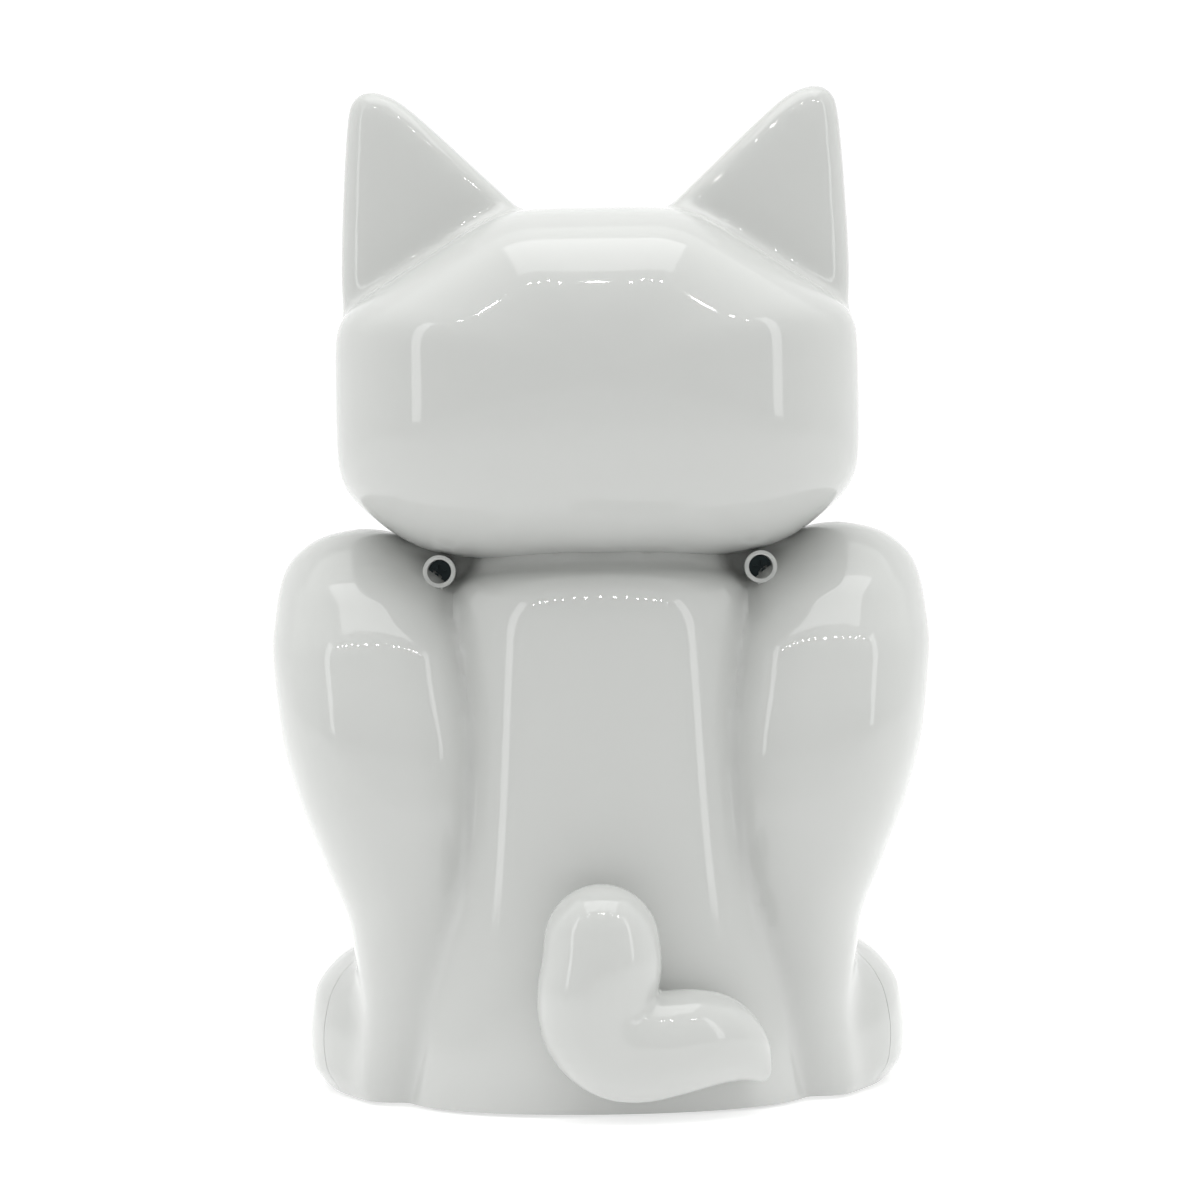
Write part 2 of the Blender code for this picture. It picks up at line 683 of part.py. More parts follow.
# ---- the movement --------------------------------------------------------------------
def waving_arm():
    """Hollow arm with the drum that fills the chest slot, in two halves."""
    arm = cylinder("arm", DRUM_R, (ARM_X - DRUM_HALF_X, AXLE_Y, AXLE_Z),
                   (ARM_X + DRUM_HALF_X, AXLE_Y, AXLE_Z), 32)
    unite(arm, limb("arm_limb", ARM_PATH))
    hollow = cylinder("hollow", DRUM_R - ARM_WALL,
                      (ARM_X - DRUM_HALF_X + ARM_WALL, AXLE_Y, AXLE_Z),
                      (ARM_X + DRUM_HALF_X - ARM_WALL, AXLE_Y, AXLE_Z), 24)
    unite(hollow, limb("limb_hollow", ARM_PATH[:-1], ARM_WALL, 3, 2))
    cut(arm, hollow)
    grip = AXLE_R + 0.15
    unite(arm, tube("hub", 2.8, AXLE_R, (ARM_X - DRUM_HALF_X + 0.2, AXLE_Y, AXLE_Z),
                    (ARM_X + DRUM_HALF_X - 0.2, AXLE_Y, AXLE_Z), 14))
    cut(arm, cylinder("axle_hole", grip, (0, AXLE_Y, AXLE_Z),
                      (AXLE_X[1] + 0.2, AXLE_Y, AXLE_Z), 14))
    inner, outer = split(arm, 0, ARM_X, "waving_arm_inner", "waving_arm_outer")
    return [finish(inner, WHITE_PLASTIC), finish(outer, WHITE_PLASTIC)]


def pendulum():
    axle = cylinder("arm_axle", AXLE_R, (AXLE_X[0], AXLE_Y, AXLE_Z),
                    (AXLE_X[1], AXLE_Y, AXLE_Z), 14)
    hub = cylinder("pendulum_lever", 3.5, (LEVER_X - 2.5, AXLE_Y, AXLE_Z),
                   (LEVER_X + 2.5, AXLE_Y, AXLE_Z), 18)
    blade = box("blade", (LEVER_X - 1, AXLE_Y - 2.2, LEVER_BOTTOM_Z + 1),
                (LEVER_X + 1, AXLE_Y + 2.2, AXLE_Z - 1))
    shoe = cylinder("shoe", MAGNET_R, (LEVER_X, AXLE_Y, LEVER_BOTTOM_Z),
                    (LEVER_X, AXLE_Y, LEVER_BOTTOM_Z + 1.6), 18)
    x, y, z = WEIGHT_CENTRE
    stay = box("stay", (LEVER_X - 1, AXLE_Y, z - 1.5), (LEVER_X + 1, y, z + 1.5))
    pin = cylinder("pin", 1.5, (x - WEIGHT_HALF_X - 0.5, y, z), (x + WEIGHT_HALF_X + 0.5, y, z), 12)
    lever = unite(hub, blade, shoe, stay, pin)
    cut(lever, cylinder("axle_hole", AXLE_R + 0.15, (LEVER_X - 5, AXLE_Y, AXLE_Z),
                        (LEVER_X + 5, AXLE_Y, AXLE_Z), 14))
    weight = cylinder("counterweight", WEIGHT_R, (x - WEIGHT_HALF_X, y, z),
                      (x + WEIGHT_HALF_X, y, z), 20)
    cut(weight,
        cylinder("pin_hole", 1.95, (x - 20, y, z), (x + 20, y, z), 12),
        box("lever_slot", (LEVER_X - 1 - GAP, y - 20, z - 1.5 - GAP),
            (LEVER_X + 1 + GAP, y + 1, z + 1.5 + GAP)))
    magnet = cylinder("pendulum_magnet", MAGNET_R, (LEVER_X, AXLE_Y, MAGNET_Z[0]),
                      (LEVER_X, AXLE_Y, MAGNET_Z[1]), 20)
    ring_x = BRACKET_X[1] - BRACKET_HALF_THICK - 0.3
    clip = tube("axle_clip", 2.2, AXLE_R + 0.15, (ring_x - 0.8, AXLE_Y, AXLE_Z),
                (ring_x, AXLE_Y, AXLE_Z), 16)
    return [finish(axle, BRIGHT_STEEL), finish(lever, INNER_PLASTIC),
            finish(weight, BRIGHT_STEEL), finish(magnet, MAGNET_METAL),
            finish(clip, BRIGHT_STEEL)]


def axle_brackets():
    for x, word in zip(BRACKET_X, ("left", "right")):
        low_x, high_x = x - BRACKET_HALF_THICK, x + BRACKET_HALF_THICK
        plate = box("axle_bracket_" + word, (low_x, AXLE_Y - 2.5, BASE_Z[1] + GAP),
                    (high_x, AXLE_Y + 4, AXLE_Z))
        unite(plate, cylinder("eye", 4.2, (low_x, AXLE_Y, AXLE_Z), (high_x, AXLE_Y, AXLE_Z), 20))
        cut(plate, cylinder("axle_hole", AXLE_HOLE_R, (low_x - 1, AXLE_Y, AXLE_Z),
                            (high_x + 1, AXLE_Y, AXLE_Z), 14))
        finish(plate, INNER_PLASTIC)


def joint_empty(name, position, pieces):
    """An empty on a joint's axis that carries the pieces which move with it."""
    empty = bpy.data.objects.new(name, None)
    empty.location = Vector(position) * MM
    parts.objects.link(empty)
    bpy.context.view_layer.update()
    for piece in pieces:
        piece.parent = empty
        piece.matrix_parent_inverse = Matrix.Translation(-empty.location)


clear_scene()
parts = collection_named("beckoning_cat_figurine")
head_shells()
neck_spool()
body_shells()
tail()
base_plate()
door = battery_door()
battery_cell()
battery_contacts()
circuit_board()
drive_coil()
wires()
slider = power_switch()
fasteners()
axle_brackets()
joint_empty("arm_swing", (0, AXLE_Y, AXLE_Z), waving_arm() + pendulum())
joint_empty("door_hinge", (BOX_X[0] + BOX_WALL + 0.5, CELL_CENTRE[1], BASE_Z[0] + 0.2), [door])
joint_empty("switch_slide", (-1.65, SWITCH_Y, BASE_Z[0]), [slider])
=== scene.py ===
"""Looks of the beckoning cat figurine: fine shells, tail, arm, face and finishes,
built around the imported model.  Shapes are worked out in millimetres as distance
fields, meshed on a grid, pulled onto the exact surface and brought to metres."""
import json
import math

import bmesh
import bpy
import numpy as np
from mathutils import Matrix, Vector


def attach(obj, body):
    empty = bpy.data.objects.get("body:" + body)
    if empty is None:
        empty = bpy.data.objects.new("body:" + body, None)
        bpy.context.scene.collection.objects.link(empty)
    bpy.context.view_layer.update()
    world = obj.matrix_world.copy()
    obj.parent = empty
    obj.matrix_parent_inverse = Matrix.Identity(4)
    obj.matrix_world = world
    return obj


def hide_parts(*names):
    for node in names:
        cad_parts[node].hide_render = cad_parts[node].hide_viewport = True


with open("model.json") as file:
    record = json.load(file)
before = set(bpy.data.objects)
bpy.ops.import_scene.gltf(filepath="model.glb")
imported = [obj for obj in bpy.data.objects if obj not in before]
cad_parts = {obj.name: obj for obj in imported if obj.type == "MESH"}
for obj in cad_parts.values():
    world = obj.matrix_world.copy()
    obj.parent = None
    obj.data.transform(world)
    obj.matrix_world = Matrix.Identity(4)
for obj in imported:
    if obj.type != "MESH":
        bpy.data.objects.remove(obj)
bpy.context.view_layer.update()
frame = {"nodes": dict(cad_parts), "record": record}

MM = 0.001
CELL = 1.0          # grid of the large shells, mm
FINE_CELL = 0.5     # grid of small forms, mm
WALL = 1.5                                 # wall of the shells, mm
SEAM = 0.06                                # half of the gap at a parting line, mm
BODY_SPLIT_Y = -1.0                        # parting planes of the shells
HEAD_SPLIT_Y = 0.0
RIM_Z = 0.3                                # the shells end here, above the ground

# Horizontal sections of the body forms: z, centre x, half width, front y, back y.
COLUMN = (
    (-6, 0, 30.2, -20, 30.2),
    (1, 0, 30, -20, 30),
    (20, 0, 28.2, -22, 29.5),
    (40, 0, 26.2, -23, 28.5),
    (60, 0, 24.8, -23.5, 27),
    (70, 0, 24, -23, 25.5),
    (75, 0, 22.6, -21.5, 23.2),
    (77.4, 0, 19.8, -18.3, 19.8),
    (78.3, 0, 15, -14, 15),
    (78.6, 0, 0, 0, 0),
)
LEG = (
    (-2, 30.4, 5, -5, 11),
    (1, 30, 7, -7, 13),
    (6, 28.5, 8.5, -9, 15),
    (15, 26.8, 9.5, -10, 17),
    (25, 26.8, 10.8, -13, 20),
    (35, 28.2, 13.3, -20, 24),
    (45, 30, 15.4, -25, 26),
    (55, 31.3, 16.5, -27, 26),
    (65, 32.5, 16.4, -27, 23),
    (73, 33.4, 14.9, -24, 18),
    (79, 34.6, 12.0, -17, 11),
    (82.6, 35.0, 7.8, -11.5, 5),
    (84.4, 35.2, 0, -3, -3),
)
FOOT = (
    (-1.5, 32.2, 7.6, -38, 0),
    (1, 32.2, 11.2, -42, 3),
    (4, 32.7, 12.6, -43.2, 4.5),
    (8, 32.7, 12.9, -43.4, 5),
    (14, 32.5, 12.3, -42.8, 4.5),
    (19, 31.6, 9.8, -38.5, 2),
    (22, 30.4, 5.9, -33, -2),
    (23.2, 30, 0, -18, -18),
)
COLUMN_POWER = 2.2         # 2 is an ellipse, larger is boxier
LIMB_POWER = 2.4

# The head: an outline of flat facets (normal, distance from the centre), alike on both
# sides, puffed out to the front and back depths.
HEAD_CENTRE = np.array((0, 4.5, 106.0))
OUTLINE_SHARPNESS = 22     # the larger, the tighter the rounding between facets
OUTLINE_FACETS = (
    ((1, 0, 0), 38.6),
    ((0, 0, 1), 25.0),
    ((0, 0, -1), 28.15),
    ((0.534, 0, 0.846), 28.5),
    ((0.623, 0, -0.782), 36.7),
    ((0.11, 0, -0.994), 28.8),
)
HEAD_FRONT = 26.6
HEAD_BACK = 28.6
HEAD_PUFF = 2.35           # 2 is a round profile, larger is boxier
HEAD_REACH = 28            # brings the head's field to millimetres

# The left ear is what lies behind these planes: (normal, a point on the plane).
EAR_ROUNDING = 1.5
EAR_PLANES = (
    ((1, 0, 0.07), (38.0, 0, 134)),
    ((-0.693, 0, 0.721), (21.5, 0, 141.4)),
    ((0.05, 0, 1), (33, 0, 150.2)),
    ((-0.06, 1, 0.17), (20, 10.6, 118)),
    ((0.3, 1, 0.12), (34, 8.0, 120)),
    ((0, -1, 0.2), (25, -8, 125)),
    ((1, 0, 0), (39.2, 0, 120)),
    ((0.9, 0, -0.43), (39.4, 0, 117)),
    ((0, 0, -1), (25, 0, 103)),
)

# Round limbs: points on the centre line with the radius there.
TAIL = (
    (0.6, 34.6, 25.2, 8.1),
    (0.6, 34.9, 22, 8.4),
    (1.4, 35.0, 17.2, 8.4),
    (0.8, 34.9, 13.4, 8.3),
    (-1.5, 34.6, 11, 8.1),
    (-4.6, 34.2, 10.4, 7.9),
    (-8.3, 33.4, 10.6, 7.5),
    (-12, 32.2, 11, 7.1),
    (-15.3, 30.8, 10.8, 6.3),
    (-18.6, 29.2, 9.2, 4.5),
    (-21.6, 27.6, 6.2, 1.9),
)
RESTING_ARM = (
    (-16, -17, 69, 4.4),
    (-17, -22, 62, 5.4),
    (-16.4, -24.2, 52, 5.5),
    (-13.6, -24.9, 43, 5.3),
    (-11.2, -25.3, 37.5, 5.9),
    (-10.4, -25.3, 34.5, 5.7),
)
AXLE = np.array((0, -12.0, 62.0))
ARM_X = 11.5               # middle of the raised arm
ARM_WALL = 1.2
DRUM_R = 12.4              # the arm's round root, which turns in the slot
DRUM_HALF_X = 5.0
ARM = (
    (ARM_X, -18, 62, 4.6),
    (ARM_X, -27, 62.4, 4.7),
    (ARM_X, -33.2, 65.4, 5.1),
    (ARM_X, -36.4, 71.5, 5.1),
    (ARM_X, -37.5, 80, 5.0),
    (ARM_X, -37.4, 87, 5.1),
    (ARM_X, -37.3, 91, 5.8),
    (ARM_X, -37.5, 92.4, 5.8),
)
SLOT_HALF_X = 5.4
SLOT_HALF_Z = 8.8
SLOT_CLEARANCE = 0.4

# Screw bosses under the back of the head.
SHOULDER_X = 23.5
SHOULDER_Z = 77.7
SHOULDER_BACK_Y = 12.0
BOSS_R = 2.4
WELL_R = 1.75

# Grooves between toes: their offsets from the middle of a foot or paw.
TOE_GROOVES = (-4.2, 3.6)
FOOT_X = 32.6
PAW_GROOVES = (-1.9, 1.9)
PAW_X = -10.5
FILLET_TOP_Z = 22.4        # the fillet of leg and foot has faded out here
PRINT_THICK = 0.06

# Camera and light, in metres and watts.
CAMERA_DISTANCE = 0.600
CAMERA_Z = 0.0731
CAMERA_ROLL = math.radians(-0.9)
CAMERA_LENS = 120.7
LIGHT_TARGET = (0, 0, 0.08)
LAMPS = 15
LAMP_SPACING = 0.042
FLOOR_Z = -0.0002
SWEEP_R = 0.5              # the curve between floor and backdrop
SWEEP_Y = -1.2


# ---- fields -------------------------------------------------------------------------
def interpolate(z, stations, values):
    """Smooth monotone curve through the values given at the stations."""
    stations = np.asarray(stations, float)
    values = np.asarray(values, float)
    span = np.diff(stations)
    slope = np.diff(values) / span
    tangent = np.empty_like(values)
    tangent[0], tangent[-1] = slope[0], slope[-1]
    same_way = slope[:-1] * slope[1:] > 0
    mean = 2 * slope[:-1] * slope[1:] / np.where(same_way, slope[:-1] + slope[1:], 1)
    tangent[1:-1] = np.where(same_way, mean, 0)
    z = np.clip(z, stations[0], stations[-1])
    index = np.clip(np.searchsorted(stations, z) - 1, 0, len(span) - 1)
    t = (z - stations[index]) / span[index]
    start, end = values[index], values[index + 1]
    lead, trail = tangent[index] * span[index], tangent[index + 1] * span[index]
    return (start * (1 + 2 * t) * (1 - t) ** 2 + lead * t * (1 - t) ** 2
            + end * t * t * (3 - 2 * t) + trail * t * t * (t - 1))


def sections_field(sections, power):
    """Stacked superellipses; the half widths shrink to a round dome at the last one."""
    table = np.asarray(sections, float)
    z, centre_x, half_x = table[:, 0], table[:, 1], table[:, 2]
    centre_y = (table[:, 3] + table[:, 4]) / 2
    half_y = (table[:, 4] - table[:, 3]) / 2

    def field(points):
        height = points[:, 2]
        wide = np.sqrt(np.maximum(interpolate(height, z, half_x ** 2), 0.04))
        deep = np.sqrt(np.maximum(interpolate(height, z, half_y ** 2), 0.04))
        across = np.abs(points[:, 0] - interpolate(height, z, centre_x)) / wide
        along = np.abs(points[:, 1] - interpolate(height, z, centre_y)) / deep
        reach = (across ** power + along ** power) ** (1 / power)
        side = (reach - 1) * np.minimum(wide, deep)
        return np.maximum(side, height - z[-1])
    return field


def facets_field(points):
    """The head: tight edges along the outline, which fade towards front and back."""
    local = points - HEAD_CENTRE
    local[:, 0] = np.abs(local[:, 0])
    total = np.zeros(len(points))
    for normal, reach in OUTLINE_FACETS:
        unit = np.asarray(normal, float) / np.linalg.norm(normal)
        total += np.maximum(local @ unit / reach, 0) ** OUTLINE_SHARPNESS
    outline = total ** (1 / OUTLINE_SHARPNESS)
    depth = np.abs(local[:, 1]) / np.where(local[:, 1] > 0, HEAD_BACK, HEAD_FRONT)
    return ((outline ** HEAD_PUFF + depth ** HEAD_PUFF) ** (1 / HEAD_PUFF) - 1) * HEAD_REACH


def planes_field(planes, rounding):
    """What lies behind all the planes, with rounded edges, on both sides alike."""
    def field(points):
        local = points * (1, 1, 1)
        local[:, 0] = np.abs(local[:, 0])
        total = np.zeros(len(points))
        for normal, position in planes:
            unit = np.asarray(normal, float) / np.linalg.norm(normal)
            total += np.exp(np.minimum((local - position) @ unit / rounding, 60))
        return rounding * np.log(total)
    return field


def smooth_route(points, steps):
    """Catmull-Rom curve through rows of numbers."""
    rows = np.asarray(points, float)
    ends = np.vstack((2 * rows[0] - rows[1], rows, 2 * rows[-1] - rows[-2]))
    route = []
    for a, b, c, d in zip(ends, ends[1:], ends[2:], ends[3:]):
        for step in range(steps):
            t = step / steps
            route.append(0.5 * (2 * b + (c - a) * t + (2 * a - 5 * b + 4 * c - d) * t ** 2
                                + (3 * b - a - 3 * c + d) * t ** 3))
    return np.array(route + [rows[-1]])


def limb_field(path, steps=5):
    """A round limb of changing thickness along a smooth curve."""
    route = smooth_route(path, steps)

    def field(points):
        nearest = np.full(len(points), np.inf)
        for start, end in zip(route, route[1:]):
            line = end[:3] - start[:3]
            t = np.clip((points - start[:3]) @ line / (line @ line), 0, 1)
            off = np.linalg.norm(points - start[:3] - t[:, None] * line, axis=1)
            nearest = np.minimum(nearest, off - start[3] - t * (end[3] - start[3]))
        return nearest
    return field


def gradient(field, points, step=0.02):
    """Slope of the field at the points, by central differences."""
    slopes = [field(points + step * unit) - field(points - step * unit) for unit in np.eye(3)]
    return np.stack(slopes, 1) / (2 * step)


def distance(field):
    """The field divided by its own slope, which is close to a true distance."""
    def scaled(points):
        slope = np.linalg.norm(gradient(field, points), axis=1)
        return field(points) / np.maximum(slope, 0.2)
    return scaled


def union(a, b, width):
    """Smooth minimum; width is how far the fillet reaches."""
    share = np.clip(0.5 + 0.5 * (b - a) / width, 0, 1)
    return b + (a - b) * share - width * share * (1 - share)


def carve(a, tool, width):
    """Take the tool away from a, with a rounded lip."""
    return -union(-a, tool, width)


# ---- meshing ------------------------------------------------------------------------
def surface_net(field, low, high, cell):
    """Quads around the zero level of the field, one vertex for each mixed cell."""
    axes = [np.arange(a, b + cell, cell) for a, b in zip(low, high)]
    grid = np.stack(np.meshgrid(*axes, indexing="ij"), -1)
    shape = grid.shape[:3]
    inside = (field(grid.reshape(-1, 3)) < 0).reshape(shape)
    count = np.zeros([n - 1 for n in shape], int)
    for corner in np.ndindex(2, 2, 2):
        window = tuple(slice(c, n - 1 + c) for c, n in zip(corner, shape))
        count += inside[window]
    mixed = (count > 0) & (count < 8)
    number = np.full(count.shape, -1)
    number[mixed] = np.arange(mixed.sum())
    points = np.argwhere(mixed) * cell + [axis[0] + cell / 2 for axis in axes]
    quads = []
    for axis in range(3):
        second, third = (axis + 1) % 3, (axis + 2) % 3
        ahead = np.roll(inside, -1, axis)
        changed = inside != ahead
        edges = np.argwhere(changed)
        keep = (edges[:, axis] < shape[axis] - 1)
        for other in (second, third):
            keep &= (edges[:, other] > 0) & (edges[:, other] < shape[other] - 1)
        edges = edges[keep]
        ring = []
        for back_second, back_third in ((1, 1), (0, 1), (0, 0), (1, 0)):
            cells = edges.copy()
            cells[:, second] -= back_second
            cells[:, third] -= back_third
            ring.append(number[tuple(cells.T)])
        ring = np.stack(ring, 1)
        outward = inside[tuple(edges.T)]
        ring[~outward] = ring[~outward][:, ::-1]
        quads.append(ring)
    return points, np.vstack(quads)


def pull(field, points, rounds=3):
    """Move points onto the zero level along the field's slope."""
    for _ in range(rounds):
        slope = gradient(field, points)
        size = np.maximum((slope ** 2).sum(1), 0.04)
        move = -(field(points) / size)[:, None] * slope
        length = np.linalg.norm(move, axis=1)
        move *= np.minimum(1, 1.0 / np.maximum(length, 1e-9))[:, None]
        points = points + move
    return points


def relax(points, quads):
    """Each point moves to the middle of its neighbours."""
    edges = np.vstack([quads[:, [a, (a + 1) % 4]] for a in range(4)])
    total = np.zeros_like(points)
    number = np.zeros(len(points))
    for start, end in ((0, 1), (1, 0)):
        np.add.at(total, edges[:, start], points[edges[:, end]])
        np.add.at(number, edges[:, start], 1)
    return total / np.maximum(number, 1)[:, None]


def skin(field, low, high, cell, rounds=4):
    """Points and quads that lie evenly on the field's surface."""
    points, quads = surface_net(field, low, high, cell)
    points = pull(field, points, 4)
    for _ in range(rounds):
        points = pull(field, 0.5 * points + 0.5 * relax(points, quads), 2)
    for _ in range(3):
        points = 0.6 * points + 0.4 * relax(points, quads)
    return points, quads


def linked(name, data):
    """A new object in the scene."""
    obj = bpy.data.objects.new(name, data)
    bpy.context.scene.collection.objects.link(obj)
    return obj


def mesh_object(name, points, faces):
    mesh = bpy.data.meshes.new(name)
    mesh.from_pydata(np.asarray(points, float).tolist(), [], [list(map(int, f)) for f in faces])
    return linked(name, mesh)


def from_bmesh(name, bm):
    mesh = bpy.data.meshes.new(name)
    bm.to_mesh(mesh)
    bm.free()
    return linked(name, mesh)


def cut_away(obj, point, normal):
    """Remove what lies on the side that the normal points to; the cut stays open."""
    bm = bmesh.new()
    bm.from_mesh(obj.data)
    geometry = bm.verts[:] + bm.edges[:] + bm.faces[:]
    bmesh.ops.bisect_plane(bm, geom=geometry, plane_co=point, plane_no=normal,
                           clear_outer=True, dist=1e-4)
    bm.to_mesh(obj.data)
    bm.free()


def apply_modifiers(obj):
    """Give the object the mesh that its modifiers make."""
    depsgraph = bpy.context.evaluated_depsgraph_get()
    mesh = bpy.data.meshes.new_from_object(obj.evaluated_get(depsgraph))
    obj.modifiers.clear()
    obj.data = mesh


def thicken(obj, wall):
    """Give an open skin a wall inwards."""
    modifier = obj.modifiers.new("wall", "SOLIDIFY")
    modifier.thickness = wall
    modifier.offset = -1
    modifier.use_even_offset = False
    modifier.use_rim = True
    apply_modifiers(obj)


def combine(target, tool, operation):
    """A boolean of two solids; the tool is used up."""
    modifier = target.modifiers.new(operation, "BOOLEAN")
    modifier.operation = operation
    modifier.object = tool
    apply_modifiers(target)
    bpy.data.objects.remove(tool, do_unlink=True)


def soften(obj, width):
    """Bevel the sharp edges."""
    modifier = obj.modifiers.new("edges", "BEVEL")
    modifier.width = width
    modifier.segments = 2
    modifier.limit_method = "ANGLE"
    apply_modifiers(obj)


def bar(name, radius, start, end, segments=48):
    """A round bar between two points."""
    start, end = Vector(start), Vector(end)
    bm = bmesh.new()
    bmesh.ops.create_cone(bm, cap_ends=True, segments=segments, radius1=radius,
                          radius2=radius, depth=(end - start).length)
    turn = Vector((0, 0, 1)).rotation_difference(end - start).to_matrix().to_4x4()
    bmesh.ops.transform(bm, matrix=Matrix.Translation((start + end) / 2) @ turn, verts=bm.verts)
    return from_bmesh(name, bm)


def block(name, low, high):
    """A box between two corners."""
    bm = bmesh.new()
    bmesh.ops.create_cube(bm, size=1)
    low, high = Vector(low), Vector(high)
    bmesh.ops.scale(bm, vec=high - low, verts=bm.verts)
    bmesh.ops.translate(bm, vec=(low + high) / 2, verts=bm.verts)
    return from_bmesh(name, bm)


def place(obj, material, body, replaced=(), smooth_angle=40):
    """Bring a piece to metres, finish it and tie it to its body."""
    obj.data.transform(Matrix.Scale(MM, 4))
    obj.data.materials.clear()
    obj.data.materials.append(material)
    obj.data.shade_smooth()
    obj.data.set_sharp_from_angle(angle=math.radians(smooth_angle))
    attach(obj, body)
    if replaced:
        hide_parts(*replaced)
    return obj


# ---- materials ----------------------------------------------------------------------
def surface(name, colour, roughness, metallic=0.0, grain=0.0, grain_size=400.0,
            spread=0.04, smudge=0.03, coat=0.0):
    """A moulded or turned surface: faint colour drift, uneven gloss and fine grain."""
    material = bpy.data.materials.new(name)
    material.use_nodes = True
    nodes, links = material.node_tree.nodes, material.node_tree.links
    shader = nodes["Principled BSDF"]
    shader.inputs["Metallic"].default_value = metallic
    shader.inputs["Coat Weight"].default_value = coat
    shader.inputs["Coat Roughness"].default_value = 0.04
    place_node = nodes.new("ShaderNodeTexCoord")

    def noise(scale, detail):
        node = nodes.new("ShaderNodeTexNoise")
        node.inputs["Scale"].default_value = scale
        node.inputs["Detail"].default_value = detail
        links.new(place_node.outputs["Object"], node.inputs["Vector"])
        return node.outputs["Fac"]

    drift = nodes.new("ShaderNodeMix")
    drift.data_type = "RGBA"
    drift.inputs["A"].default_value = (*[c * (1 - spread) for c in colour], 1)
    drift.inputs["B"].default_value = (*[min(1, c * (1 + spread)) for c in colour], 1)
    links.new(noise(35, 2), drift.inputs["Factor"])
    links.new(drift.outputs["Result"], shader.inputs["Base Color"])

    gloss = nodes.new("ShaderNodeMapRange")
    gloss.inputs["To Min"].default_value = max(0.02, roughness - smudge)
    gloss.inputs["To Max"].default_value = roughness + smudge
    links.new(noise(60, 4), gloss.inputs["Value"])
    links.new(gloss.outputs["Result"], shader.inputs["Roughness"])

    if grain:
        bump = nodes.new("ShaderNodeBump")
        bump.inputs["Strength"].default_value = 1.0
        bump.inputs["Distance"].default_value = grain * MM
        links.new(noise(grain_size, 3), bump.inputs["Height"])
        links.new(bump.outputs["Normal"], shader.inputs["Normal"])
    return material


WHITE = surface("white_plastic", (0.555, 0.562, 0.55), 0.045, grain=0.006, grain_size=260,
                spread=0.006, smudge=0.01)
INNER = surface("inner_plastic", (0.74, 0.74, 0.72), 0.5, grain=0.03, grain_size=900)
BLACK_STEEL = surface("black_steel", (0.02, 0.028, 0.03), 0.32, 0.85, grain=0.02, grain_size=700)
BRIGHT_STEEL = surface("bright_steel", (0.62, 0.62, 0.6), 0.3, 1.0, grain=0.01, grain_size=600)
MAGNET = surface("magnet_metal", (0.6, 0.6, 0.62), 0.2, 1.0, grain=0.01)
COPPER = surface("copper_winding", (0.75, 0.32, 0.13), 0.32, 1.0, grain=0.06, grain_size=1200)
BOARD = surface("board_laminate", (0.04, 0.24, 0.1), 0.4, grain=0.02, grain_size=1200, spread=0.15)
CHIP = surface("chip_black", (0.02, 0.02, 0.022), 0.45, grain=0.04, grain_size=1500, spread=0.2)
CELL_CAN = surface("cell_can", (0.08, 0.1, 0.12), 0.28, grain=0.01, spread=0.1, coat=0.3)
RUBBER = surface("pad_rubber", (0.3, 0.3, 0.3), 0.75, grain=0.05, grain_size=1500, spread=0.1)
RED_WIRE = surface("red_sleeve", (0.6, 0.03, 0.02), 0.4, grain=0.02, spread=0.1)
BLACK_WIRE = surface("black_sleeve", (0.02, 0.02, 0.02), 0.4, grain=0.02, spread=0.1)
BLACK_PRINT = surface("black_print", (0.012, 0.012, 0.014), 0.2, grain=0.01, spread=0.2)
PINK_PRINT = surface("pink_print", (0.72, 0.3, 0.32), 0.3, grain=0.01, spread=0.05)

CAD_FINISH = {
    "white_plastic": WHITE, "inner_plastic": INNER, "black_steel": BLACK_STEEL,
    "bright_steel": BRIGHT_STEEL, "magnet_metal": MAGNET, "copper_winding": COPPER,
    "board_laminate": BOARD, "chip_black": CHIP, "capacitor_sleeve": CHIP,
    "cell_can": CELL_CAN, "pad_rubber": RUBBER, "red_sleeve": RED_WIRE,
    "black_sleeve": BLACK_WIRE,
}


def finish_cad_nodes():
    """The CAD pieces that stay get the finish of their record slot."""
    for row in frame["record"]["subparts"]:
        obj = frame["nodes"][row["node"]]
        obj.data.materials.clear()
        obj.data.materials.append(CAD_FINISH[row["material_slot"]])


# ---- the cat's forms ------------------------------------------------------------------
column = distance(sections_field(COLUMN, COLUMN_POWER))
leg = distance(sections_field(LEG, LIMB_POWER))
foot = distance(sections_field(FOOT, LIMB_POWER))
dome = distance(facets_field)
ears = planes_field(EAR_PLANES, EAR_ROUNDING)
tail = limb_field(TAIL)
resting_arm = limb_field(RESTING_ARM)
raised_arm = limb_field(ARM)


def folded(points):
    """The same points with x made positive, for forms that are alike on both sides."""
    return points * np.where(points[:, :1] < 0, -1, 1) ** np.array((1, 0, 0))


def body(points):
    """Column, legs, feet and the lowered arm, with their grooves and fillets."""
    half = folded(points)
    toes = np.minimum(*[np.abs(half[:, 0] - FOOT_X - offset) for offset in TOE_GROOVES])
    groove = np.maximum(np.maximum(toes - 0.5, half[:, 1] + 35), half[:, 2] - 18)
    feet = carve(foot(half), np.maximum(groove, -foot(half) - 1.2), 0.6)
    fade = np.clip((FILLET_TOP_Z - half[:, 2]) / 5, 0, 1)
    legs = union(leg(half), feet, 0.3 + 5.7 * fade * fade * (3 - 2 * fade))
    trunk = union(column(points), legs, 1.2)
    trunk = union(trunk, shoulder_filler(half), 1.5)
    paw = np.minimum(*[np.abs(points[:, 0] - PAW_X - offset) for offset in PAW_GROOVES])
    groove = np.maximum(paw - 0.25, points[:, 2] - 36.5)
    limb = resting_arm(points)
    limb = carve(limb, np.maximum(groove, -limb - 0.6), 0.7)
    return union(trunk, limb, 1.2)


